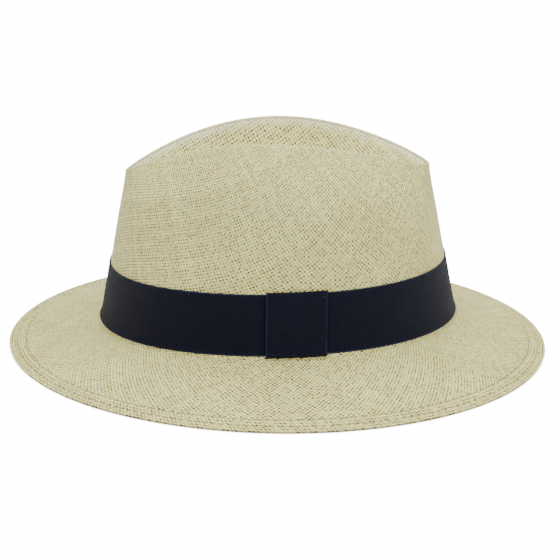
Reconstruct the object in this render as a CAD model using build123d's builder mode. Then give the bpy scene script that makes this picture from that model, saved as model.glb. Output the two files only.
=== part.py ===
from build123d import *

import os
from functools import cache
from math import cos, exp, pi, radians, sin, tan

# A woven straw fedora, standing on its brim.  Millimetres, +Z up, +X towards the back of the
# head, -Y towards the wearer's left.  The origin is on the rest plane, under the middle of
# the brim.  Every surface of the hat is one family of rings that run round the head.

# Driving dimensions of the straw body
STRAW = 1.5                     # thickness of the woven straw
BRIM_LENGTH = 317.6             # outline of the brim, front to back
BRIM_WIDTH = 279.6              # outline of the brim, side to side
EDGE_TOP = 1.1                  # top of the brim at its edge; the underside is trimmed level
BREAK_LENGTH = 208.4            # foot of the crown, where it turns into the brim
BREAK_WIDTH = 170.4
BREAK_HEIGHT = 19.4             # mean height of the foot of the crown
BREAK_TILT = 3.6                # the foot is this much higher at the back, lower in front
BREAK_SADDLE = 1.85             # the foot is this much higher at the sides than at the ends
WALL_LEAN = tan(radians(10.4))  # the walls lean in by this much for each millimetre of height
CROWN_RAKE = 0.02               # the crown leans forward by this much for each millimetre
WALL_TOP = 52.0                 # height of the straight wall above the foot

# The teardrop crest of the crown, and the dent inside it
CREST_LENGTH = 176.0
CREST_HALF_WIDTH = 28.8
CREST_HEIGHT = 129.6            # top of the crest's fold line, at the middle of the crown
CREST_DROP = 22.0               # mean fall of the crest from the middle to the two ends
CREST_DROP_UNEVEN = 3.35        # the front falls this much more, the back this much less
CREST_X = -1.5
DENT_X = -2.0                   # deepest point of the dent
DENT_FRONT = 101.5              # height of the dent's floor line at the front tip
DENT_BACK = 108.0               # and at the back
DENT_SAG = 3.0                  # the floor line sags by this much in between
PINCH_DEPTH = 5.0               # the side pinches at the front, for the fingers
PINCH_PLACE = -0.52             # along the crown, from -1 at the front to 1 at the back
PINCH_SPREAD = 0.24

# Layers outside the straw: each starts this far out from it, with air between the layers
AIR = 0.15
RIBBON_IN = AIR
RIBBON_OUT = RIBBON_IN + 0.6
LAP_OUT = RIBBON_OUT + 0.6
KEEPER_IN = LAP_OUT + AIR
KEEPER_OUT = KEEPER_IN + 0.7
THREAD = 0.25                   # how far a stitch stands out

# Layers inside the straw
TAPE_OUT = -STRAW - AIR
TAPE = 0.35
BAND_OUT = TAPE_OUT - TAPE - AIR
BAND_IN = BAND_OUT - 0.9
TAPE_IN = BAND_IN - AIR - TAPE

# Heights above the foot of the crown
RIBBON_LOW = 1.3
RIBBON_HIGH = RIBBON_LOW + 34.0
KEEPER_OVERHANG = 1.0           # the keeper folds over the ribbon's edges by this much
TAPE_LOW = 2.0
REED_LOW = TAPE_LOW + TAPE + AIR
REED_HIGH = REED_LOW + 1.6
TAPE_HIGH = TAPE_LOW + 7.0
BAND_LOW = REED_HIGH + AIR
BAND_HIGH = BAND_LOW + 31.0

# Places along the hat
KEEPER_X = 10.5                 # the flat keeper sits on the left side, a little back
KEEPER_WIDTH = 34.0
LAP_WIDTH = 28.0                # the ribbon's lapped ends, hidden by the keeper
SEAM_GAP = 1.2                  # the sweatband's ends meet at the back
LABEL_ANGLE = radians(60)
LABEL_WIDTH = 14.0
LABEL_HEIGHT = 10.0
LABEL_THICKNESS = 0.5
LABEL_AIR = 0.4                 # the flat label clears the curved sweatband by this much

# Thread
THREAD_WIDTH = 0.5
THREAD_AIR = 0.06               # a stitch clears the curved layer that it lies on by this much
TACKS = 12                      # places for tacks round the ribbon, one of them under the keeper
TACK_LENGTH = 1.6
TACK_EDGE = 1.6                 # how far a tack is from the ribbon's edge
BACK_TACK_ANGLE = radians(-12)
KEEPER_ANGLE = radians(277)     # direction of the keeper's middle
KEEPER_CLEAR = radians(14)
KEEPER_TACK_ANGLE = radians(8)
STITCHES = 120
STITCH_LENGTH = 3.0
STITCH_EDGE = 1.5               # how far the running stitch is from the tape's edge
SEAM_STITCHES = 9
SEAM_STITCH_LENGTH = 4.0
SEAM_SLANT = 35

# The bow inside, at the back
BOW_LOOP = 13.0
BOW_HEIGHT = 6.0                # width of the narrow ribbon that it is tied from
BOW_RIBBON = 0.4
BOW_THICKNESS = 2.6
BOW_KNOT = 4.5
BOW_STAND = 2.0                 # the curved band leaves this much room behind the loops
BOW_SIT = 9.0

RING_POINTS = 40
RINGS_PER_SPAN = 2
REACH = 200.0                   # more than half the hat, for cutting shapes


def mix(first, second, share):
    return first + (second - first) * share


def break_height(along):
    """Height of the foot of the crown; along runs from -1 at the front to 1 at the back."""
    return BREAK_HEIGHT + BREAK_TILT * along - BREAK_SADDLE * (2 * along**2 - 1)


def brim_ring(angle, out, fall):
    """A ring on the brim: out and fall are 0 at the foot of the crown and 1 at the edge."""
    x = mix(BREAK_LENGTH, BRIM_LENGTH, out) / 2 * cos(angle)
    y = mix(BREAK_WIDTH, BRIM_WIDTH, out) / 2 * sin(angle)
    foot = BREAK_HEIGHT if fall > 1 else break_height(cos(angle))
    return x, y, mix(foot, EDGE_TOP, fall)


def wall_ring(angle, height, pinch):
    """A ring on the leaning wall, at a height above the foot of the crown."""
    dip = pinch * PINCH_DEPTH * exp(-(((cos(angle) - PINCH_PLACE) / PINCH_SPREAD) ** 2))
    x = (BREAK_LENGTH / 2 - WALL_LEAN * height) * cos(angle) - CROWN_RAKE * height
    y = (BREAK_WIDTH / 2 - WALL_LEAN * height - dip) * sin(angle)
    return x, y, break_height(cos(angle)) + height


def crest_ring(angle):
    """The fold line along the top of the crown, pointed at the front and round at the back."""
    along = cos(angle)
    teardrop = 1 + 0.22 * along - 0.42 * along**2
    drop = along**2 * (CREST_DROP - CREST_DROP_UNEVEN * along)
    x = CREST_X + CREST_LENGTH / 2 * along
    return x, CREST_HALF_WIDTH * teardrop * sin(angle), CREST_HEIGHT - drop


def shoulder_ring(angle, inward, rise, pinch):
    """A ring between the top of the wall and the crest."""
    foot = wall_ring(angle, WALL_TOP, pinch)
    crest = crest_ring(angle)
    z = mix(foot[2], crest[2], rise)
    wall = wall_ring(angle, z - break_height(cos(angle)), pinch)
    return mix(wall[0], crest[0], inward), mix(wall[1], crest[1], inward), z


def dent_floor(x):
    share = (x + CREST_LENGTH / 2) / CREST_LENGTH
    return mix(DENT_FRONT, DENT_BACK, share) - 4 * DENT_SAG * share * (1 - share)


def dent_ring(angle, out):
    """A ring inside the dent, from its deepest point (0) out to the crest (1)."""
    crest = crest_ring(angle)
    x = mix(DENT_X, crest[0], out)
    rim = crest[2] - dent_floor(crest[0])
    return x, crest[1] * out, dent_floor(x) + rim * out**2


def control_rings(angle):
    """Control points of one meridian of the hat, from outside the brim's edge to the dent."""
    brim = [(1.24, 1.14), (1.16, 1.09), (1.08, 1.045), (1.0, 1.0), (0.92, 0.95), (0.80, 0.83),
            (0.6, 0.62), (0.36, 0.35), (0.14, 0.12)]
    wall = [(0, 0), (7, 0), (18, 0), (30, 0), (41, 0.2), (WALL_TOP, 0.6)]
    shoulder = [(0.0, 0.38, 1.0), (0.18, 0.70, 1.0), (0.58, 0.885, 0.5), (0.84, 0.968, 0.2)]
    dent = [0.8, 0.58, 0.36, 0.14, 0.0]
    points = [brim_ring(angle, out, fall) for out, fall in brim]
    points += [wall_ring(angle, height, pinch) for height, pinch in wall]
    points += [shoulder_ring(angle, *sizes) for sizes in shoulder]
    points.append(crest_ring(angle))
    points += [dent_ring(angle, out) for out in dent]
    return [Vector(*point) for point in points]


def surface_point(angle, way):
    """A point of the hat's upper surface; way counts the control rings from the edge."""
    points = control_rings(angle)
    points.append(points[-1] * 2 - points[-2])
    span = min(int(way), len(points) - 4)
    t = way - span
    weights = ((1 - t) ** 3, 3 * t**3 - 6 * t**2 + 4, -3 * t**3 + 3 * t**2 + 3 * t + 1, t**3)
    total = Vector(0, 0, 0)
    for weight, point in zip(weights, points[span:span + 4]):
        total += point * (weight / 6)
    return total


LAST_WAY = len(control_rings(0)) - 2     # the dent's deepest point
FOOT_WAY = 8
CREST_WAY = 18


def layer_point(angle, way, lift):
    """A point at a distance above (or, negative, below) the hat's upper surface."""
    step = 0.02
    inside = min(way, LAST_WAY - 2 * step)
    along = surface_point(angle, inside + step) - surface_point(angle, inside - step)
    around = surface_point(angle + step, inside) - surface_point(angle - step, inside)
    return surface_point(angle, way) + around.cross(along).normalized() * lift


@cache
def under_layer(lift):
    """Everything under the layer at a distance above the hat's upper surface."""
    angles = [2 * pi * index / RING_POINTS - pi / 2 for index in range(RING_POINTS)]
    steps = [index / RING_POINTS for index in range(RING_POINTS + 1)]
    ways = [index / RINGS_PER_SPAN for index in range(LAST_WAY * RINGS_PER_SPAN)]
    rings = [[layer_point(angle, way, lift) for angle in angles] for way in ways]
    for ring in (rings[0], rings[-1]):
        level = ring[0].Z
        ring[:] = [Vector(point.X, point.Y, level) for point in ring]
    return Solid.make_loft([Wire([Edge.make_spline(ring, periodic=True, parameters=steps)])
                            for ring in rings])


def layer_half(outer, inner, low, high):
    """The right half of a ring round the crown, between two layers and two heights."""
    reach = REACH / (BREAK_LENGTH / 2)
    middle = BREAK_HEIGHT + BREAK_SADDLE * (1 + 2 * reach**2)
    front, back = break_height(-reach), break_height(reach)
    under_outer = under_layer(outer)
    under_inner = under_layer(inner)
    with BuildPart() as half:
        with BuildSketch(Plane.XZ):
            with BuildLine():
                for height in (low, high):
                    Bezier((-REACH, front + height), (0, middle + height), (REACH, back + height))
                Line((-REACH, front + low), (-REACH, front + high))
                Line((REACH, back + low), (REACH, back + high))
            make_face()
        extrude(amount=-REACH)
        add(under_outer, mode=Mode.INTERSECT)
        add(under_inner, mode=Mode.SUBTRACT)
    return half.part


def slice_of(half, x, width):
    """The stretch of a half ring that lies about x."""
    return half & Pos(x, REACH / 2, REACH / 2) * Box(width, REACH, REACH)


def seat(angle, height, lift, inward=False, turn=0):
    """A plane lying on a layer, with its X along the hat's rim and its Z away from the straw."""
    target = break_height(cos(angle)) + height
    low, high = FOOT_WAY, CREST_WAY
    for _ in range(30):
        middle = (low + high) / 2
        if layer_point(angle, middle, lift).Z < target:
            low = middle
        else:
            high = middle
    origin = layer_point(angle, low, lift)
    outward = layer_point(angle, low, lift + 1) - origin
    rim = layer_point(angle + 0.01, low, lift) - origin
    rim -= outward * rim.dot(outward)
    plane = Plane(origin, x_dir=rim, z_dir=outward * (-1 if inward else 1))
    return plane.rotated((0, 0, turn))


# The straw body: crown and brim woven in one piece
with BuildPart() as straw_body:
    with BuildSketch():
        Ellipse(BRIM_LENGTH / 2, BRIM_WIDTH / 2)
        Rectangle(2 * REACH, REACH, align=(Align.CENTER, Align.MIN), mode=Mode.INTERSECT)
    extrude(amount=REACH)
    add(under_layer(0), mode=Mode.INTERSECT)
    add(under_layer(-STRAW), mode=Mode.SUBTRACT)
    mirror(about=Plane.XZ)

# The ribbon: one strip of grosgrain, its ends lapped where the keeper hides them
ribbon_half = layer_half(RIBBON_OUT, RIBBON_IN, RIBBON_LOW, RIBBON_HIGH)
lap_half = layer_half(LAP_OUT, RIBBON_OUT, RIBBON_LOW, RIBBON_HIGH)
lap = mirror(slice_of(lap_half, KEEPER_X, LAP_WIDTH), about=Plane.XZ)
with BuildPart() as hat_ribbon:
    add(ribbon_half)
    mirror(about=Plane.XZ)
    add(lap)

# The keeper: a flat loop of the same ribbon, folded over the ribbon's two edges
keeper_half = layer_half(KEEPER_OUT, RIBBON_IN, RIBBON_LOW - KEEPER_OVERHANG,
                         RIBBON_HIGH + KEEPER_OVERHANG)
keeper_hollow = layer_half(KEEPER_IN, 0, RIBBON_LOW - AIR, RIBBON_HIGH + AIR)
keeper = mirror(slice_of(keeper_half, KEEPER_X, KEEPER_WIDTH), about=Plane.XZ)
hollow = mirror(slice_of(keeper_hollow, KEEPER_X, KEEPER_WIDTH + 1), about=Plane.XZ)
with BuildPart() as ribbon_keeper:
    add(keeper)
    add(hollow, mode=Mode.SUBTRACT)

# Thread that tacks the ribbon to the straw near its upper edge, once in the middle at the back
tack_angles = [2 * pi * index / TACKS for index in range(TACKS)]
tack_seats = [seat(angle, RIBBON_HIGH - TACK_EDGE, RIBBON_OUT + THREAD_AIR)
              for angle in tack_angles if abs(angle - KEEPER_ANGLE) > KEEPER_CLEAR]
tack_seats.append(seat(BACK_TACK_ANGLE, (RIBBON_LOW + RIBBON_HIGH) / 2, RIBBON_OUT + THREAD_AIR))
with BuildPart() as ribbon_tacks:
    with BuildSketch(*tack_seats):
        SlotOverall(TACK_LENGTH, THREAD_WIDTH)
    extrude(amount=THREAD)

# Thread at the keeper's four corners
keeper_tack_seats = [seat(KEEPER_ANGLE + side * KEEPER_TACK_ANGLE, height, KEEPER_OUT + THREAD_AIR)
                     for side in (-1, 1)
                     for height in (RIBBON_LOW + TACK_EDGE, RIBBON_HIGH - TACK_EDGE)]
with BuildPart() as keeper_tacks:
    with BuildSketch(*keeper_tack_seats):
        SlotOverall(TACK_LENGTH, THREAD_WIDTH)
    extrude(amount=THREAD)

# The sweatband: a leather strip round the inside, its ends meeting at the back
band_half = layer_half(BAND_OUT, BAND_IN, BAND_LOW, BAND_HIGH)
with BuildPart() as sweatband:
    add(band_half)
    mirror(about=Plane.XZ)
    with Locations((REACH / 2, 0, REACH / 2)):
        Box(REACH, SEAM_GAP, REACH, mode=Mode.SUBTRACT)

# The reed that stiffens the sweatband's lower edge
reed_half = layer_half(BAND_OUT, BAND_IN, REED_LOW, REED_HIGH)
with BuildPart() as sweatband_reed:
    add(reed_half)
    mirror(about=Plane.XZ)

# The tape that folds round the reed and the sweatband's edge
tape_half = layer_half(TAPE_OUT, TAPE_IN, TAPE_LOW, TAPE_HIGH)
tape_hollow = layer_half(TAPE_OUT - TAPE, TAPE_IN + TAPE, TAPE_LOW + TAPE, TAPE_HIGH + 1)
with BuildPart() as reed_tape:
    add(tape_half)
    add(tape_hollow, mode=Mode.SUBTRACT)
    mirror(about=Plane.XZ)

# The running stitch that holds the tape and sweatband to the straw
stitch_seats = [seat(2 * pi * index / STITCHES, TAPE_HIGH - STITCH_EDGE, TAPE_IN - THREAD_AIR,
                     inward=True) for index in range(STITCHES)]
with BuildPart() as sweatband_stitches:
    with BuildSketch(*stitch_seats):
        SlotOverall(STITCH_LENGTH, THREAD_WIDTH)
    extrude(amount=THREAD)

# Zigzag stitches that close the sweatband's seam at the back
seam_heights = [mix(TAPE_HIGH + 2, BAND_HIGH - 2, index / (SEAM_STITCHES - 1))
                for index in range(SEAM_STITCHES)]
seam_seats = [seat(0, height, BAND_IN - THREAD_AIR, inward=True, turn=SEAM_SLANT * (-1)**index)
              for index, height in enumerate(seam_heights)]
with BuildPart() as seam_stitches:
    with BuildSketch(*seam_seats):
        SlotOverall(SEAM_STITCH_LENGTH, THREAD_WIDTH)
    extrude(amount=THREAD)

# A small bow of narrow ribbon over the foot of the seam, which marks the back of the hat
bow_seat = seat(0, BOW_SIT, TAPE_IN - 2 * AIR - THREAD, inward=True)
loop_plane = Plane(bow_seat.origin, x_dir=bow_seat.x_dir, z_dir=bow_seat.y_dir)
with BuildPart() as sweatband_bow:
    with BuildSketch(bow_seat):
        RectangleRounded(BOW_KNOT, BOW_HEIGHT, BOW_KNOT / 4)
    extrude(amount=BOW_STAND + BOW_THICKNESS)
    with BuildSketch(loop_plane):
        with Locations((0, -BOW_STAND - BOW_THICKNESS / 2)):
            with Locations((-BOW_LOOP / 2, 0), (BOW_LOOP / 2, 0)):
                SlotOverall(BOW_LOOP, BOW_THICKNESS)
                SlotOverall(BOW_LOOP - 2 * BOW_RIBBON, BOW_THICKNESS - 2 * BOW_RIBBON,
                            mode=Mode.SUBTRACT)
    extrude(amount=BOW_HEIGHT / 2, both=True)

# A blank woven label on the sweatband
label_seat = seat(LABEL_ANGLE, (TAPE_HIGH + BAND_HIGH) / 2, BAND_IN - LABEL_AIR, inward=True)
with BuildPart() as size_label:
    with BuildSketch(label_seat):
        RectangleRounded(LABEL_WIDTH, LABEL_HEIGHT, LABEL_THICKNESS)
    extrude(amount=LABEL_THICKNESS)

os.makedirs("parts", exist_ok=True)
pieces = {
    "straw_body": straw_body,
    "hat_ribbon": hat_ribbon,
    "ribbon_keeper": ribbon_keeper,
    "ribbon_tacks": ribbon_tacks,
    "keeper_tacks": keeper_tacks,
    "sweatband": sweatband,
    "sweatband_reed": sweatband_reed,
    "reed_tape": reed_tape,
    "sweatband_stitches": sweatband_stitches,
    "seam_stitches": seam_stitches,
    "sweatband_bow": sweatband_bow,
    "size_label": size_label,
}
for name, piece in pieces.items():
    piece.part.label = name
    export_step(piece.part, f"parts/{name}.step")
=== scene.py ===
import math

import bpy
import numpy as np
from mathutils import Matrix, Vector


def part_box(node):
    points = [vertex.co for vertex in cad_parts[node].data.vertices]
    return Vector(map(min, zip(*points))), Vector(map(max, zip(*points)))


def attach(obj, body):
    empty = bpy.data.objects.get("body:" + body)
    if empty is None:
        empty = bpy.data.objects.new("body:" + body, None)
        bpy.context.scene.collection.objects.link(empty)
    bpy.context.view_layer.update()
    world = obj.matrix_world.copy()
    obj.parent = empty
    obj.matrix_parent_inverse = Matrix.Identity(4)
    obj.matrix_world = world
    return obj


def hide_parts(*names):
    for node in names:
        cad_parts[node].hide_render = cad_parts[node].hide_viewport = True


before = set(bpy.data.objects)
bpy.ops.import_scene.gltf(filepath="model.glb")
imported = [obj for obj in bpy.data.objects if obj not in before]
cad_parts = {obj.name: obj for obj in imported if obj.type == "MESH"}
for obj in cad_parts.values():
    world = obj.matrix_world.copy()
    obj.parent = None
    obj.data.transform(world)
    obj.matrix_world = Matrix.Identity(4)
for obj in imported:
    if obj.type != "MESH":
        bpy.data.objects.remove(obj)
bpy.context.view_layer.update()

# A woven straw fedora with a grosgrain ribbon.  The CAD model is in metres; the hat's shape is
# worked out here in millimetres, by the same family of rings as the CAD, and scaled at the end.
METRE = 0.001
TURN = 2 * math.pi

# Sizes read from the frame, in millimetres
body_low, body_high = (Vector(corner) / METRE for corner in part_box("straw_body"))
BRIM_LENGTH = body_high.x - body_low.x
BRIM_WIDTH = body_high.y - body_low.y
CREST_HEIGHT = body_high.z + 1.2         # the fold line's control ring is above the fold
bow_low, bow_high = (Vector(corner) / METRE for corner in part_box("sweatband_bow"))
label_low, label_high = (Vector(corner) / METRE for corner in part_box("size_label"))

# The straw body's other sizes, the same as in the CAD
STRAW = 1.5
EDGE_TOP = 1.1
BREAK_LENGTH = 208.4
BREAK_WIDTH = 170.4
BREAK_HEIGHT = 19.4
BREAK_TILT = 3.6
BREAK_SADDLE = 1.85
WALL_LEAN = math.tan(math.radians(10.4))
CROWN_RAKE = 0.02
WALL_TOP = 52.0
CREST_LENGTH = 176.0
CREST_HALF_WIDTH = 28.8
CREST_DROP = 22.0
CREST_DROP_UNEVEN = 3.35
CREST_X = -1.5
DENT_X = -2.0
DENT_FRONT = 101.5
DENT_BACK = 108.0
DENT_SAG = 3.0
PINCH_DEPTH = 5.0
PINCH_PLACE = -0.52
PINCH_SPREAD = 0.24

# Places along a meridian, counted in control rings from outside the brim's edge
EDGE_WAY = 2
FOOT_WAY = 8
WALL_WAY = 11
CREST_WAY = 18
DEEPEST_WAY = 23

# The straw's mesh: meridians round the hat, and rows along them
COLUMNS = 432
CROWN_ROWS = 130
BRIM_ROWS = 50
BORDER_ROWS = 60
angles = np.arange(COLUMNS + 1) * TURN / COLUMNS

# The weave.  The two families of straws slant more steeply on some sides of the crown.
STRAW_PITCH = 1.72
FRONT_LEFT = math.radians(225)
RISING_SLANT = 30
RISING_SWING = -20
FALLING_SLANT = 57
FALLING_SWING = 13
MIDDLE_OF_WALL = 70.0            # distance up the wall where the slants are exact
DENT_ALONG = 0.82                # direction of the dent's first family: along the crown
DENT_ACROSS = 0.57               # and across it
DENT_STEEPNESS = 1.35            # the dent's sides are longer than they look from above
BRIM_STRAWS = 320
BORDER_STRAWS = 424
BORDER = 9.9                     # the border's inner row of holes, in from the brim's edge
HOLE_ROW = 4.5                   # its second row of holes
BORDER_RIDGES = [                # place in from the edge, width, height
    (7.2, 1.5, 0.40), (BORDER, 0.6, -0.35), (HOLE_ROW, 0.6, -0.30), (2.3, 1.3, 0.30)]
UNDERSIDE_RELIEF = 0.6           # how much of the border's relief shows below

# The strips, as in the CAD: heights above the foot, and distances out from the straw's face
RIBBON_LOW = 1.3
RIBBON_HIGH = 35.3
RIBBON_IN = 0.15
RIBBON_OUT = 0.75
KEEPER_X = 10.5
KEEPER_WIDTH = 34.0
KEEPER_OVERHANG = 1.0
KEEPER_IN = 1.5
KEEPER_OUT = 2.2
KEEPER_FOLD = [                  # from the face in over the ribbon's edge: height left, lift
    (0.1, KEEPER_OUT - 0.1), (0.0, KEEPER_OUT - 0.35), (0.0, 0.45), (0.1, 0.2), (0.5, 0.15),
    (0.85, 0.3), (0.85, KEEPER_IN - 0.1), (1.1, KEEPER_IN)]
KEEPER_CORNER = 0.35             # the face starts this far from the keeper's ends
KEEPER_ROUNDING = 0.25           # its side edges fall away by this much
KEEPER_SOFTNESS = 0.5
TAPE = 0.35
TAPE_OUT = -1.65
TAPE_IN = -3.55
TAPE_LOW = 2.0
TAPE_MIDDLE = 5.5
TAPE_HIGH = 9.0
TAPE_CORNER = 0.2
BAND_OUT = -2.15
BAND_IN = -3.05
BAND_LOW = 4.25
BAND_HIGH = 35.25
BAND_COLUMNS = 300
SEAM_GAP = 1.2
LABEL_ANGLE = math.radians(60)
LABEL_WIDTH = 14.0
LABEL_AIR = 0.15
LABEL_THICKNESS = 0.45
LABEL_RADIUS = BREAK_LENGTH / 2 - 12     # of the sweatband, where the label is
BOW_RIBBON = 0.35
BOW_LANES = 7                    # points across the bow's ribbon

# Camera and light
CAMERA_DISTANCE = 1.2
CAMERA_ELEVATION = math.radians(20.42)
CAMERA_ROLL = math.radians(0.88)
LENS = 130.05
FOOT_CENTRE = Vector((-0.0008, 0, BREAK_HEIGHT * METRE + 0.0012))
AIM_ABOVE = 0.0153
AIM_BACK = 0.0018
LIT_POINT = Vector((0, 0, 0.06))
AMBIENT = 0.38                   # strength of the white all round, for the light on the hat
BACKDROP = 14.0                  # and as the camera sees it
CONTACT_SHADOW_GLOW = 1.2               # the floor's dimmer glow where the hat touches it: a painted contact shadow
CONTACT_REACH = 0.05
FLOOR_SIZE = 12
FLOOR_DROP = 0.0003


def mix(first, second, share):
    return first + (second - first) * share


def break_height(along):
    """Height of the foot of the crown; along runs from -1 at the front to 1 at the back."""
    return BREAK_HEIGHT + BREAK_TILT * along - BREAK_SADDLE * (2 * along**2 - 1)


def brim_ring(angle, out, fall):
    """A ring on the brim: out and fall are 0 at the foot of the crown and 1 at the edge."""
    x = mix(BREAK_LENGTH, BRIM_LENGTH, out) / 2 * np.cos(angle)
    y = mix(BREAK_WIDTH, BRIM_WIDTH, out) / 2 * np.sin(angle)
    foot = BREAK_HEIGHT if fall > 1 else break_height(np.cos(angle))
    return np.stack([x, y, mix(foot, EDGE_TOP, fall) + 0 * x], axis=-1)


def wall_ring(angle, height, pinch):
    """A ring on the leaning wall, at a height above the foot of the crown."""
    dip = pinch * PINCH_DEPTH * np.exp(-(((np.cos(angle) - PINCH_PLACE) / PINCH_SPREAD) ** 2))
    x = (BREAK_LENGTH / 2 - WALL_LEAN * height) * np.cos(angle) - CROWN_RAKE * height
    y = (BREAK_WIDTH / 2 - WALL_LEAN * height - dip) * np.sin(angle)
    return np.stack([x, y, break_height(np.cos(angle)) + height], axis=-1)


def crest_ring(angle):
    """The fold line along the top of the crown, pointed at the front and round at the back."""
    along = np.cos(angle)
    teardrop = 1 + 0.22 * along - 0.42 * along**2
    drop = along**2 * (CREST_DROP - CREST_DROP_UNEVEN * along)
    x = CREST_X + CREST_LENGTH / 2 * along
    y = CREST_HALF_WIDTH * teardrop * np.sin(angle)
    return np.stack([x, y, CREST_HEIGHT - drop], axis=-1)


def shoulder_ring(angle, inward, rise, pinch):
    """A ring between the top of the wall and the crest."""
    foot = wall_ring(angle, WALL_TOP, pinch)
    crest = crest_ring(angle)
    z = mix(foot[..., 2], crest[..., 2], rise)
    wall = wall_ring(angle, z - break_height(np.cos(angle)), pinch)
    ring = mix(wall, crest, inward)
    ring[..., 2] = z
    return ring


def dent_floor(x):
    share = (x + CREST_LENGTH / 2) / CREST_LENGTH
    return mix(DENT_FRONT, DENT_BACK, share) - 4 * DENT_SAG * share * (1 - share)


def dent_ring(angle, out):
    """A ring inside the dent, from its deepest point (0) out to the crest (1)."""
    crest = crest_ring(angle)
    x = mix(DENT_X, crest[..., 0], out)
    rim = crest[..., 2] - dent_floor(crest[..., 0])
    return np.stack([x, crest[..., 1] * out, dent_floor(x) + rim * out**2], axis=-1)


def control_rings(angle):
    """Control points of the meridians at these angles, from outside the brim to the dent."""
    brim = [(1.24, 1.14), (1.16, 1.09), (1.08, 1.045), (1.0, 1.0), (0.92, 0.95), (0.80, 0.83),
            (0.6, 0.62), (0.36, 0.35), (0.14, 0.12)]
    wall = [(0, 0), (7, 0), (18, 0), (30, 0), (41, 0.2), (WALL_TOP, 0.6)]
    shoulder = [(0.0, 0.38, 1.0), (0.18, 0.70, 1.0), (0.58, 0.885, 0.5), (0.84, 0.968, 0.2)]
    dent = [0.8, 0.58, 0.36, 0.14, 0.0]
    rings = [brim_ring(angle, out, fall) for out, fall in brim]
    rings += [wall_ring(angle, height, pinch) for height, pinch in wall]
    rings += [shoulder_ring(angle, *sizes) for sizes in shoulder]
    rings.append(crest_ring(angle))
    rings += [dent_ring(angle, out) for out in dent]
    rings.append(2 * rings[-1] - rings[-2])
    return np.array(rings)


def surface(angle, way):
    """Points of the hat's upper surface, one for each pair of angle and way."""
    angle, way = np.broadcast_arrays(np.asarray(angle, float), np.asarray(way, float))
    rings = control_rings(angle.ravel())
    flat_way = way.ravel()
    span = np.clip(flat_way.astype(int), 0, len(rings) - 4)
    t = (flat_way - span)[:, None]
    column = np.arange(len(flat_way))
    weights = ((1 - t) ** 3, 3 * t**3 - 6 * t**2 + 4, -3 * t**3 + 3 * t**2 + 3 * t + 1, t**3)
    points = sum(weight / 6 * rings[span + step, column] for step, weight in enumerate(weights))
    return points.reshape(*angle.shape, 3)


def layer(angle, way, lift):
    """Points at a distance above (or, negative, below) the hat's upper surface."""
    step = 0.02
    inside = np.minimum(way, DEEPEST_WAY - 2 * step)
    along = surface(angle, inside + step) - surface(angle, inside - step)
    around = surface(angle + step, inside) - surface(angle - step, inside)
    normal = np.cross(around, along)
    normal /= np.linalg.norm(normal, axis=-1, keepdims=True)
    lift = np.asarray(lift, float)
    return surface(angle, way) + normal * (lift[..., None] if lift.ndim else lift)


def way_at_height(angle, height):
    """Where a meridian passes a height above the foot of the crown."""
    ways = np.arange(FOOT_WAY - 1.5, CREST_WAY - 1, 0.02)
    line = surface(angle, ways)[:, 2] - break_height(math.cos(angle))
    return np.interp(height, line, ways)


# Meshes

def mesh_piece(name, points, faces, fields):
    """A smooth mesh object from points in millimetres; fields hold a value for each corner."""
    mesh = bpy.data.meshes.new(name)
    mesh.from_pydata((np.asarray(points) * METRE).tolist(), [], faces)
    mesh.polygons.foreach_set("use_smooth", [True] * len(mesh.polygons))
    for field, values in fields.items():
        values = np.asarray(values, np.float32)
        vector = values.ndim == 2
        attribute = mesh.attributes.new(field, "FLOAT_VECTOR" if vector else "FLOAT", "CORNER")
        attribute.data.foreach_set("vector" if vector else "value", values.ravel())
    mesh.update()
    piece = bpy.data.objects.new(name, mesh)
    bpy.context.scene.collection.objects.link(piece)
    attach(piece, "root")
    return piece


def grid_faces(rows, columns):
    """The row and column of each corner of a grid's quads; its rows close into a section."""
    row, column = np.meshgrid(np.arange(rows), np.arange(columns), indexing="ij")
    corner_rows = np.stack([row, row, row + 1, row + 1], axis=-1).reshape(-1, 4) % rows
    corner_columns = np.stack([column, column + 1, column + 1, column], axis=-1).reshape(-1, 4)
    return corner_rows, corner_columns


def ring_piece(name, points, fields):
    """A piece whose section, one row for each point of it, runs once round the hat.

    Each field has one more column than the points have, so that it may jump where it closes.
    """
    rows, columns = points.shape[:2]
    corner_rows, corner_columns = grid_faces(rows, columns)
    faces = corner_rows * columns + corner_columns % columns
    corners = {field: values[corner_rows, corner_columns].reshape(-1, *values.shape[2:])
               for field, values in fields.items()}
    return mesh_piece(name, points.reshape(-1, 3), faces.tolist(), corners)


def open_strip(name, points, cloth):
    """A strip with two ends, each closed with one face."""
    rows, columns = points.shape[:2]
    corner_rows, corner_columns = grid_faces(rows, columns - 1)
    faces = (corner_rows * columns + corner_columns).tolist()
    first = np.arange(rows) * columns
    faces += [first[::-1].tolist(), (first + columns - 1).tolist()]
    corners = [cloth[corner_rows, corner_columns].reshape(-1, 3), cloth[::-1, 0], cloth[:, -1]]
    return mesh_piece(name, points.reshape(-1, 3), faces, {"cloth": np.concatenate(corners)})


def finish_piece(piece, node, material):
    piece.data.materials.append(material)
    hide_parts(node)


# The straw, with coordinates that count straws along each family

def distance_along(points):
    """Distance along each meridian, from its first point."""
    steps = np.linalg.norm(np.diff(points, axis=0), axis=-1)
    return np.cumsum(np.vstack([np.zeros(points.shape[1]), steps]), axis=0)


def straws_crossed(slant, steps):
    """Straws crossed on the way round the hat; an even number in all, so that the weave closes."""
    count = np.sin(slant) / STRAW_PITCH
    crossed = np.concatenate([[0], np.cumsum((count[1:] + count[:-1]) / 2 * steps)])
    return crossed * (2 * round(crossed[-1] / 2) / crossed[-1])


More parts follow.
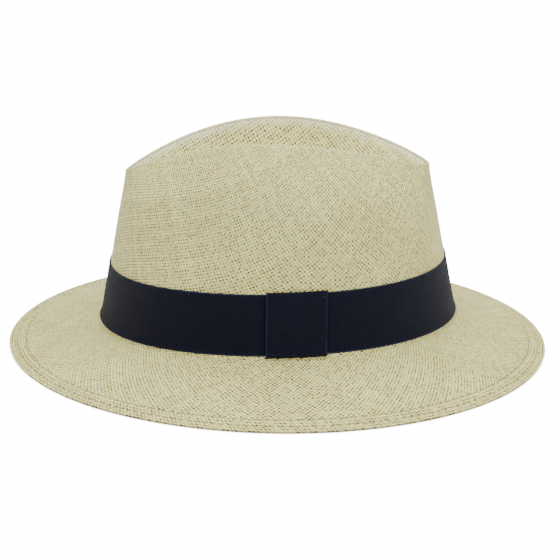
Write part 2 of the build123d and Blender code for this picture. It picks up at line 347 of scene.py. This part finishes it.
def crown_weave(points, ways):
    """Straw coordinates on the crown: slanting families on the wall, a square grid in the dent."""
    steps = np.linalg.norm(np.diff(surface(angles, WALL_WAY), axis=0), axis=1)
    height = distance_along(points) - MIDDLE_OF_WALL
    swing = np.cos(2 * (angles - FRONT_LEFT))
    rising = np.radians(RISING_SLANT + RISING_SWING * swing)
    falling = np.radians(FALLING_SLANT + FALLING_SWING * swing)
    u = height * np.cos(rising) / STRAW_PITCH - straws_crossed(rising, steps)
    v = height * np.cos(falling) / STRAW_PITCH + straws_crossed(falling, steps)
    along = points[..., 0]
    across = points[..., 1] * DENT_STEEPNESS
    dent = ways[:, None] > CREST_WAY
    u = np.where(dent, (along * DENT_ALONG + across * DENT_ACROSS) / STRAW_PITCH, u)
    v = np.where(dent, (along * DENT_ACROSS - across * DENT_ALONG) / STRAW_PITCH, v)
    return np.stack([u, v, np.zeros_like(u)], axis=-1)


def brim_weave(points):
    """Straw coordinates on the brim, with the distance from its edge.

    Two slanting families cover it, and rows along the edge make the border.
    """
    outward = distance_along(points)
    inset = outward[-1] - outward
    climb = outward * math.sqrt(0.5) / STRAW_PITCH
    around = BRIM_STRAWS * angles / TURN
    row = inset / STRAW_PITCH
    border = inset < BORDER
    u = np.where(border, row, climb + around)
    v = np.where(border, BORDER_STRAWS * angles / TURN + 0.5 * row, climb - around)
    return np.stack([u, v, inset], axis=-1)


def border_relief(inset):
    """Height of the woven border at a distance in from the brim's edge."""
    return sum(height * np.exp(-(((inset - place) / width) ** 2))
               for place, width, height in BORDER_RIDGES)


def straw_crown(material):
    """Up the crown's outer face to the middle of the dent, and back down its inner face."""
    ways = np.linspace(FOOT_WAY - 0.2, DEEPEST_WAY - 0.05, CROWN_ROWS)
    inner_ways = ways[::-2]
    outer = layer(angles, ways[:, None], 0.0)
    inner = layer(angles, inner_ways[:, None], -STRAW)
    inner_weave = crown_weave(inner[::-1], inner_ways[::-1])[::-1]
    # closeness to the crown's fold: the mask for the straw's painted highlight along it
    fold = np.exp(-(((np.concatenate([ways, inner_ways]) - CREST_WAY) / 0.45) ** 2))
    fields = {"weave": np.concatenate([crown_weave(outer, ways), inner_weave]),
              "fold": np.repeat(fold[:, None], len(angles), axis=1)}
    piece = ring_piece("straw_crown", np.concatenate([outer, inner])[:, :-1], fields)
    finish_piece(piece, "straw_body", material)


def straw_brim(material):
    """Down the brim's upper face to its edge, and back up the underside."""
    ways = np.concatenate([np.linspace(FOOT_WAY - 0.2, EDGE_WAY + 2.2, BRIM_ROWS),
                           np.linspace(EDGE_WAY + 2.1, EDGE_WAY, BORDER_ROWS)])
    weave = brim_weave(layer(angles, ways[:, None], 0.0))
    relief = border_relief(weave[..., 2])
    upper = layer(angles, ways[:, None], relief)
    under = layer(angles, ways[:, None], -STRAW - relief * UNDERSIDE_RELIEF)
    under[..., 2] = np.maximum(under[..., 2], 0)
    fields = {"weave": np.concatenate([weave, weave[::-1]])}
    piece = ring_piece("straw_brim", np.concatenate([upper, under[::-1]])[:, :-1], fields)
    finish_piece(piece, "straw_body", material)


# Strips of cloth and leather that follow the crown

def strip_section(low, high, inner, outer, steps=12):
    """Once round the section of a thin strip with rounded edges, as (height, lift) pairs."""
    half = (outer - inner) / 2
    middle = (outer + inner) / 2
    turns = np.radians(np.linspace(90, -90, 7))
    heights = np.linspace(low + half, high - half, steps)[1:-1]
    section = [(height, outer) for height in heights]
    section += [(high - half + half * math.cos(t), middle + half * math.sin(t)) for t in turns]
    section += [(height, inner) for height in heights[::-1]]
    section += [(low + half - half * math.cos(t), middle + half * math.sin(t))
                for t in turns[::-1]]
    return np.array(section)


def meridian_ways(around, heights):
    """Where each meridian passes each height; one row for each height."""
    return np.stack([way_at_height(angle, heights) for angle in around], axis=1)


def band_points(around, section):
    """Points of a strip that runs along the wall; one row for each point of its section."""
    heights, lifts = section.T
    ways = meridian_ways(around, heights)
    return layer(around, ways, np.broadcast_to(lifts[:, None], ways.shape))


def cloth_field(along, across, width):
    """Cloth coordinates in millimetres: along the strip, across it, and its width."""
    along, across = np.broadcast_arrays(along, across)
    return np.stack([along, across, np.full(along.shape, width)], axis=-1)


def band(around, section, low, high):
    """A strip's points, its cloth coordinates and its length."""
    points = band_points(around, section)
    steps = np.linalg.norm(np.diff(points, axis=1), axis=-1).mean(axis=0)
    along = np.concatenate([[0], np.cumsum(steps)])
    return points, cloth_field(along, section[:, :1] - low, high - low), along[-1]


def hat_ribbon(material):
    section = strip_section(RIBBON_LOW, RIBBON_HIGH, RIBBON_IN, RIBBON_OUT)
    points, cloth, length = band(angles, section, RIBBON_LOW, RIBBON_HIGH)
    piece = ring_piece("ribbon", points[:, :-1], {"cloth": cloth})
    finish_piece(piece, "hat_ribbon", material)


def keeper(material):
    """A flat loop of ribbon whose ends fold over the hat ribbon's edges; its sides are upright."""
    low = RIBBON_LOW - KEEPER_OVERHANG
    high = RIBBON_HIGH + KEEPER_OVERHANG
    face = np.linspace(low + KEEPER_CORNER, high - KEEPER_CORNER, 16)
    section = np.array([(height, KEEPER_OUT) for height in face]
                       + [(high - left, lift) for left, lift in KEEPER_FOLD]
                       + [(low + left, lift) for left, lift in KEEPER_FOLD[::-1]])
    heights, lifts = section.T
    lifts = lifts[:, None]
    # the meridians that reach each place along X, found on a fine fan of them
    fan = np.radians(np.linspace(230, 310, 81))
    fan_ways = meridian_ways(fan, heights)
    fan_x = layer(fan, fan_ways, np.broadcast_to(lifts, fan_ways.shape))[..., 0]
    across = np.linspace(0, KEEPER_WIDTH, 34)
    x = KEEPER_X - KEEPER_WIDTH / 2 + across
    around = np.array([np.interp(x, row, fan) for row in fan_x])
    ways = np.array([np.interp(row, fan, line) for row, line in zip(around, fan_ways)])
    from_side = np.minimum(across, KEEPER_WIDTH - across)
    rounding = KEEPER_ROUNDING * np.exp(-from_side / KEEPER_SOFTNESS)
    on_face = lifts > KEEPER_IN + 0.2
    points = layer(around, ways, np.where(on_face, lifts - rounding, lifts))
    along = np.concatenate([[0], np.cumsum(np.hypot(*np.diff(section, axis=0).T))])
    piece = open_strip("keeper", points, cloth_field(along[:, None], across, KEEPER_WIDTH))
    finish_piece(piece, "ribbon_keeper", material)


def sweatband(material):
    section = strip_section(BAND_LOW, BAND_HIGH, BAND_IN, BAND_OUT, 14)
    gap = SEAM_GAP / BREAK_LENGTH
    around = np.linspace(gap, TURN - gap, BAND_COLUMNS)
    points, cloth, length = band(around, section, BAND_LOW, BAND_HIGH)
    piece = open_strip("leather_band", points, cloth)
    finish_piece(piece, "sweatband", material)


def reed_tape(material):
    """A tape folded up on both sides of the reed and of the sweatband's lower edge."""
    section = np.array([
        (TAPE_LOW + TAPE_CORNER, TAPE_OUT), (TAPE_MIDDLE, TAPE_OUT), (TAPE_HIGH, TAPE_OUT),
        (TAPE_HIGH, TAPE_OUT - TAPE), (TAPE_MIDDLE, TAPE_OUT - TAPE),
        (TAPE_LOW + TAPE, TAPE_OUT - TAPE), (TAPE_LOW + TAPE, TAPE_IN + TAPE),
        (TAPE_MIDDLE, TAPE_IN + TAPE), (TAPE_HIGH, TAPE_IN + TAPE),
        (TAPE_HIGH, TAPE_IN), (TAPE_MIDDLE, TAPE_IN), (TAPE_LOW + TAPE_CORNER, TAPE_IN),
        (TAPE_LOW, TAPE_IN + TAPE_CORNER), (TAPE_LOW, TAPE_OUT - TAPE_CORNER)])
    points, cloth, length = band(angles, section, TAPE_LOW, TAPE_HIGH)
    piece = ring_piece("binding_tape", points[:, :-1], {"cloth": cloth})
    finish_piece(piece, "reed_tape", material)


def size_label(material):
    foot = break_height(math.cos(LABEL_ANGLE))
    low = label_low.z - foot
    high = label_high.z - foot
    outer = BAND_IN - LABEL_AIR
    section = strip_section(low, high, outer - LABEL_THICKNESS, outer, 6)
    half = LABEL_WIDTH / 2 / LABEL_RADIUS
    around = np.linspace(LABEL_ANGLE - half, LABEL_ANGLE + half, 12)
    points, cloth, _ = band(around, section, low, high)
    piece = open_strip("label", points, cloth)
    finish_piece(piece, "size_label", material)


def bow_paths(reach, depth):
    """Middle lines of the bow's two loops and its knot: along Y, along X, and share of width."""
    turn = np.linspace(0, TURN, 33)
    spread = reach * (0.5 - 0.5 * np.cos(turn)) * 0.98
    bulge = depth * 0.75 * np.sin(turn) * np.sin(turn / 2)
    share = 0.55 + 0.45 * np.sin(turn / 2)
    knot = np.linspace(0, TURN, 25)
    return [(-spread, bulge, share), (spread, bulge, share),
            (reach * 0.17 * np.cos(knot), depth * 0.9 * np.sin(knot), 0 * knot + 0.55)]


def bow(material):
    """A small flat bow at the sweatband's seam, tied from narrow ribbon."""
    centre = (bow_low + bow_high) / 2
    width = (bow_high.z - bow_low.z) * 0.9
    lanes = np.linspace(-0.5, 0.5, BOW_LANES)
    section = [(BOW_RIBBON / 2, lane) for lane in lanes]
    section += [(-BOW_RIBBON / 2, lane) for lane in lanes[::-1]]
    points = []
    faces = []
    cloth = []
    for spread, bulge, share in bow_paths((bow_high.y - bow_low.y) / 2,
                                          (bow_high.x - bow_low.x) / 2):
        start = len(points)
        forward = np.gradient(np.stack([spread, bulge]), axis=1)
        normal = np.stack([-forward[1], forward[0]]) / (np.linalg.norm(forward, axis=0) + 1e-6)
        for step in range(len(spread)):
            for offset, lane in section:
                x = bulge[step] + normal[1][step] * offset
                y = spread[step] + normal[0][step] * offset
                z = lane * width * share[step]
                points.append((centre.x + x, centre.y + y, centre.z + z))
        for step in range(len(spread) - 1):
            for side in range(len(section)):
                after = (side + 1) % len(section)
                quad = [(step, side), (step, after), (step + 1, after), (step + 1, side)]
                faces.append([start + row * len(section) + column for row, column in quad])
                cloth += [(row * 0.8, (section[column][1] + 0.5) * width, width)
                          for row, column in quad]
    piece = mesh_piece("bow", points, faces, {"cloth": cloth})
    finish_piece(piece, "sweatband_bow", material)


# Materials

class Nodes:
    """A material's node tree, with short calls for the nodes used here."""

    def __init__(self, name):
        self.material = bpy.data.materials.new(name)
        self.material.use_nodes = True
        self.tree = self.material.node_tree
        self.shader = self.tree.nodes["Principled BSDF"]

    def plug(self, socket, value):
        """Links another node's output, or sets a constant."""
        if isinstance(value, bpy.types.NodeSocket):
            self.tree.links.new(value, socket)
        else:
            socket.default_value = value

    def math(self, operation, *values):
        node = self.tree.nodes.new("ShaderNodeMath")
        node.operation = operation
        for socket, value in zip(node.inputs, values):
            self.plug(socket, value)
        return node.outputs[0]

    def attribute(self, name):
        """The three numbers of one of the mesh's fields."""
        node = self.tree.nodes.new("ShaderNodeAttribute")
        node.attribute_name = name
        split = self.tree.nodes.new("ShaderNodeSeparateXYZ")
        self.tree.links.new(node.outputs["Vector"], split.inputs[0])
        return split.outputs

    def place(self):
        return self.tree.nodes.new("ShaderNodeTexCoord").outputs["Object"]

    def noise(self, scale, detail):
        node = self.tree.nodes.new("ShaderNodeTexNoise")
        node.inputs["Scale"].default_value = scale
        node.inputs["Detail"].default_value = detail
        self.plug(node.inputs["Vector"], self.place())
        return node.outputs["Fac"]

    def chance(self, *values):
        """A number from 0 to 1 that is the same wherever the whole values are the same."""
        node = self.tree.nodes.new("ShaderNodeTexWhiteNoise")
        node.noise_dimensions = "3D"
        join = self.tree.nodes.new("ShaderNodeCombineXYZ")
        for socket, value in zip(join.inputs, values):
            self.plug(socket, value)
        self.tree.links.new(join.outputs[0], node.inputs["Vector"])
        return node.outputs["Value"]

    def ramp(self, value, low, high, to_low=0.0, to_high=1.0):
        """A smooth step, from to_low where the value is low to to_high where it is high."""
        node = self.tree.nodes.new("ShaderNodeMapRange")
        node.interpolation_type = "SMOOTHSTEP"
        for socket, number in zip(node.inputs, (value, low, high, to_low, to_high)):
            self.plug(socket, number)
        return node.outputs[0]

    def wave(self, distance, pitch):
        """A wave from 0 to 1 that repeats at every pitch."""
        sine = self.math("SINE", self.math("MULTIPLY", distance, TURN / pitch))
        return self.math("MULTIPLY_ADD", sine, 0.5, 0.5)

    def colour(self, share, first, second):
        node = self.tree.nodes.new("ShaderNodeMix")
        node.data_type = "RGBA"
        self.plug(node.inputs["Factor"], share)
        for name, value in (("A", first), ("B", second)):
            self.plug(node.inputs[name], (*value, 1) if isinstance(value, tuple) else value)
        return node.outputs["Result"]

    def mix(self, share, first, second):
        node = self.tree.nodes.new("ShaderNodeMix")
        self.plug(node.inputs["Factor"], share)
        self.plug(node.inputs["A"], first)
        self.plug(node.inputs["B"], second)
        return node.outputs["Result"]

    def finish(self, colour, roughness, height, distance):
        """Plugs in the shader's inputs; distance is the relief's depth, in metres."""
        self.plug(self.shader.inputs["Base Color"], colour)
        self.plug(self.shader.inputs["Roughness"], roughness)
        bump = self.tree.nodes.new("ShaderNodeBump")
        bump.inputs["Distance"].default_value = distance
        self.plug(bump.inputs["Height"], height)
        self.tree.links.new(bump.outputs[0], self.shader.inputs["Normal"])
        return self.material


def straw_material():
    """Flat straws, plain woven: one over, one under, with pinholes at some of the corners."""
    n = Nodes("woven straw")
    u, v, inset = n.attribute("weave")

    # which straw is on top, and how it bulges there
    cell_u = n.math("FLOOR", u)
    cell_v = n.math("FLOOR", v)
    across_u = n.math("SINE", n.math("MULTIPLY", n.math("FRACT", u), math.pi))
    across_v = n.math("SINE", n.math("MULTIPLY", n.math("FRACT", v), math.pi))
    upper = n.math("FLOORED_MODULO", n.math("ADD", cell_u, cell_v), 2.0)
    flat_u = n.math("POWER", across_u, 0.35)
    flat_v = n.math("POWER", across_v, 0.35)
    pillow = n.mix(upper, n.math("MULTIPLY", across_u, flat_v),
                   n.math("MULTIPLY", flat_u, across_v))

    # pinholes, where four straws meet; they are painted near black, painted shade seen through them
    corner_u = n.math("ROUND", u)
    corner_v = n.math("ROUND", v)
    gap = n.math("ADD", n.math("ABSOLUTE", n.math("SUBTRACT", u, corner_u)),
                 n.math("ABSOLUTE", n.math("SUBTRACT", v, corner_v)))
    open_corner = n.ramp(n.chance(corner_u, corner_v, 5.0), 0.25, 0.95)
    pinhole = n.math("MULTIPLY", n.ramp(gap, 0.50, 0.20), open_corner)

    # each straw keeps its own tone along its length; crossings and patches vary it
    tone = n.mix(upper, n.chance(cell_u, 3.0, 0.0), n.chance(cell_v, 7.0, 0.0))
    crossing = n.math("MULTIPLY", n.chance(cell_u, cell_v, 1.0), 0.35)
    patch = n.math("MULTIPLY", n.ramp(n.noise(18.0, 3.0), 0.35, 0.7), 0.25)
    # painted shade: the straw is darker where it dips under the straw crossing it
    shade = n.ramp(pillow, 0.0, 0.6, 0.75, 0.0)
    colour = n.colour(tone, (0.57, 0.505, 0.125), (0.85, 0.80, 0.285))
    colour = n.colour(crossing, colour, (0.88, 0.84, 0.45))
    colour = n.colour(patch, colour, (0.50, 0.49, 0.18))
    colour = n.colour(shade, colour, (0.26, 0.21, 0.055))
    # painted shade: the pinholes are coloured near black
    colour = n.colour(n.math("MULTIPLY", pinhole, 0.92), colour, (0.05, 0.036, 0.012))

    # the border's two rows of holes, also painted dark: painted shade seen through them
    beads = n.ramp(n.math("SINE", n.math("MULTIPLY", v, math.pi)), -0.2, 0.7)
    for place in (BORDER, HOLE_ROW):
        off = n.math("ABSOLUTE", n.math("SUBTRACT", inset, place))
        hole = n.math("MULTIPLY", n.ramp(off, 0.85, 0.3), beads)
        pinhole = n.math("MAXIMUM", pinhole, hole)
        colour = n.colour(n.math("MULTIPLY", hole, 0.75), colour, (0.08, 0.06, 0.02))

    # painted highlight: the straw is painted paler along the crown's fold
    wear_and_highlight = n.math("MULTIPLY", n.attribute("fold")[0], 0.6)
    colour = n.colour(wear_and_highlight, colour, (0.90, 0.86, 0.55))
    return n.finish(colour, n.mix(tone, 0.48, 0.66), n.math("SUBTRACT", pillow, pinhole), 0.00045)


def cloth_material(name, dark, light, edge_colour, rib, roughness, sheen, specular):
    """Ribbed ribbon or tape: ribs cross the strip, and a selvedge runs along each edge.

    The ribs' pitch, rib, is in millimetres.
    """
    n = Nodes(name)
    along, across, width = n.attribute("cloth")
    edge = n.math("MINIMUM", across, n.math("SUBTRACT", width, across))
    selvedge = n.ramp(edge, 1.0, 0.4)
    ribs = n.wave(along, rib)
    threads = n.wave(across, 0.45)
    fuzz = n.noise(2600.0, 3.0)
    wear = n.ramp(n.noise(45.0, 4.0), 0.35, 0.75)
    tone = n.math("MULTIPLY", n.math("MULTIPLY_ADD", fuzz, 0.5, ribs), 0.66)
    colour = n.colour(tone, dark, light)
    colour = n.colour(n.math("MULTIPLY", wear, 0.25), colour, light)
    colour = n.colour(n.math("MULTIPLY", selvedge, 0.7), colour, edge_colour)
    height = n.math("ADD", ribs, n.math("MULTIPLY", n.math("ADD", threads, fuzz), 0.3))
    n.shader.inputs["Sheen Weight"].default_value = sheen
    n.shader.inputs["Sheen Roughness"].default_value = 0.4
    n.shader.inputs["Specular IOR Level"].default_value = specular
    return n.finish(colour, n.mix(ribs, roughness, roughness - 0.12), height, rib * 0.00025)


def leather_material():
    """Tan leather: fine cells, broad patches of tone, and paler edges from wear."""
    n = Nodes("tan leather")
    cells = n.tree.nodes.new("ShaderNodeTexVoronoi")
    cells.feature = "DISTANCE_TO_EDGE"
    cells.inputs["Scale"].default_value = 900.0
    n.plug(cells.inputs["Vector"], n.place())
    grain = n.ramp(cells.outputs["Distance"], 0.0, 0.3)
    _, across, width = n.attribute("cloth")
    edge = n.math("MINIMUM", across, n.math("SUBTRACT", width, across))
    wear_and_highlight = n.ramp(edge, 2.2, 0.3)
    patch = n.ramp(n.noise(30.0, 5.0), 0.3, 0.75)
    colour = n.colour(patch, (0.36, 0.20, 0.095), (0.48, 0.29, 0.15))
    colour = n.colour(n.math("MULTIPLY", n.ramp(grain, 1.0, 0.0), 0.35), colour, (0.20, 0.10, 0.045))
    colour = n.colour(n.math("MULTIPLY", wear_and_highlight, 0.4), colour, (0.58, 0.40, 0.24))
    height = n.math("ADD", grain, n.math("MULTIPLY", n.noise(250.0, 4.0), 0.6))
    n.shader.inputs["Coat Weight"].default_value = 0.08
    return n.finish(colour, n.mix(patch, 0.5, 0.38), height, 0.00012)


def fine_material(name, dark, light, scale, roughness, distance, specular):
    """Thread or moulded plastic: a fine mottle in its colour, its roughness and its relief."""
    n = Nodes(name)
    fine = n.noise(scale, 4.0)
    broad = n.noise(scale / 12, 2.0)
    tone = n.ramp(n.math("MULTIPLY_ADD", broad, 0.5, n.math("MULTIPLY", fine, 0.5)), 0.35, 0.65)
    n.shader.inputs["Specular IOR Level"].default_value = specular
    return n.finish(n.colour(tone, dark, light), n.mix(fine, roughness, roughness - 0.15), fine, distance)


def dress(node, material):
    """Puts a material on a CAD node that stays in view."""
    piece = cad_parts[node]
    piece.data.materials.clear()
    piece.data.materials.append(material)


# Studio

def backdrop():
    """White all round for the camera, and a softer white for the light that falls on the hat."""
    world = bpy.data.worlds.new("studio")
    bpy.context.scene.world = world
    world.use_nodes = True
    tree = world.node_tree
    background = tree.nodes["Background"]
    background.inputs["Color"].default_value = (1, 1, 1, 1)
    path = tree.nodes.new("ShaderNodeLightPath")
    strength = tree.nodes.new("ShaderNodeMapRange")
    strength.inputs["To Min"].default_value = AMBIENT
    strength.inputs["To Max"].default_value = BACKDROP
    tree.links.new(path.outputs["Is Camera Ray"], strength.inputs["Value"])
    tree.links.new(strength.outputs[0], background.inputs["Strength"])


def floor():
    """A pale floor that looks as white as the backdrop, a little less so right at the hat, where its glow
    is dimmed into a painted contact shadow.
    """
    bpy.ops.mesh.primitive_plane_add(size=FLOOR_SIZE, location=(0, 0, -FLOOR_DROP))
    plane = bpy.context.object
    plane.name = "floor"
    n = Nodes("pale floor")
    path = n.tree.nodes.new("ShaderNodeLightPath")
    near = n.tree.nodes.new("ShaderNodeAmbientOcclusion")
    near.inputs["Distance"].default_value = CONTACT_REACH
    # painted contact shadow: the glow the camera sees drops where the hat is close
    glow = n.ramp(near.outputs["AO"], 0.0, 0.9, CONTACT_SHADOW_GLOW, BACKDROP)
    glow = n.math("MULTIPLY", glow, path.outputs["Is Camera Ray"])
    n.plug(n.shader.inputs["Base Color"], (0.93, 0.93, 0.93, 1))
    n.plug(n.shader.inputs["Roughness"], 0.9)
    n.plug(n.shader.inputs["Specular IOR Level"], 0.1)
    n.plug(n.shader.inputs["Emission Color"], (1, 1, 1, 1))
    n.plug(n.shader.inputs["Emission Strength"], glow)
    plane.data.materials.append(n.material)


def camera():
    """A long lens from the hat's left, a little above, as for a catalogue picture."""
    towards = Vector((0, -math.cos(CAMERA_ELEVATION), math.sin(CAMERA_ELEVATION)))
    up = Vector((0, math.sin(CAMERA_ELEVATION), math.cos(CAMERA_ELEVATION)))
    data = bpy.data.cameras.new("camera")
    data.lens = LENS
    data.sensor_width = 36
    data.clip_start = 0.01
    view = bpy.data.objects.new("camera", data)
    bpy.context.scene.collection.objects.link(view)
    view.location = FOOT_CENTRE + towards * CAMERA_DISTANCE
    aim = FOOT_CENTRE + up * AIM_ABOVE + Vector((AIM_BACK, 0, 0))
    look = (aim - view.location).to_track_quat("-Z", "Y").to_matrix()
    view.rotation_euler = (look @ Matrix.Rotation(CAMERA_ROLL, 3, "Z")).to_euler()
    bpy.context.scene.camera = view


def softbox(name, place, size, power):
    light = bpy.data.lights.new(name, "AREA")
    light.energy = power
    light.size = size
    lamp = bpy.data.objects.new(name, light)
    lamp.location = place
    lamp.rotation_euler = (LIT_POINT - lamp.location).to_track_quat("-Z", "Y").to_euler()
    bpy.context.scene.collection.objects.link(lamp)


camera()
softbox("key", Vector((-0.9, -1.1, 1.5)), 1.3, 24)
softbox("fill", Vector((1.3, -0.9, 1.1)), 1.3, 24)
softbox("top", Vector((0, 0.45, 1.9)), 1.1, 62)
backdrop()
floor()

straw = straw_material()
grosgrain = cloth_material("navy grosgrain", (0.0011, 0.0015, 0.0062), (0.0026, 0.0034, 0.0130),
                           (0.012, 0.017, 0.042), 0.9, 0.75, 0.03, 0.10)
cotton = cloth_material("cream cotton tape", (0.45, 0.40, 0.28), (0.62, 0.57, 0.44),
                        (0.66, 0.62, 0.50), 0.6, 0.9, 0.15, 0.2)
navy_thread = fine_material("twisted navy thread", (0.004, 0.005, 0.010), (0.012, 0.015, 0.030),
                            2400.0, 0.7, 0.0001, 0.2)
cream_thread = fine_material("twisted cream thread", (0.50, 0.44, 0.30), (0.68, 0.63, 0.49),
                             2400.0, 0.75, 0.0001, 0.4)
plastic = fine_material("clear reed plastic", (0.55, 0.55, 0.50), (0.66, 0.66, 0.60),
                        400.0, 0.35, 0.00003, 0.4)

straw_crown(straw)
straw_brim(straw)
hat_ribbon(grosgrain)
keeper(grosgrain)
sweatband(leather_material())
reed_tape(cotton)
size_label(cotton)
bow(cotton)
for node in ("ribbon_tacks", "keeper_tacks"):
    dress(node, navy_thread)
for node in ("sweatband_stitches", "seam_stitches"):
    dress(node, cream_thread)
dress("sweatband_reed", plastic)
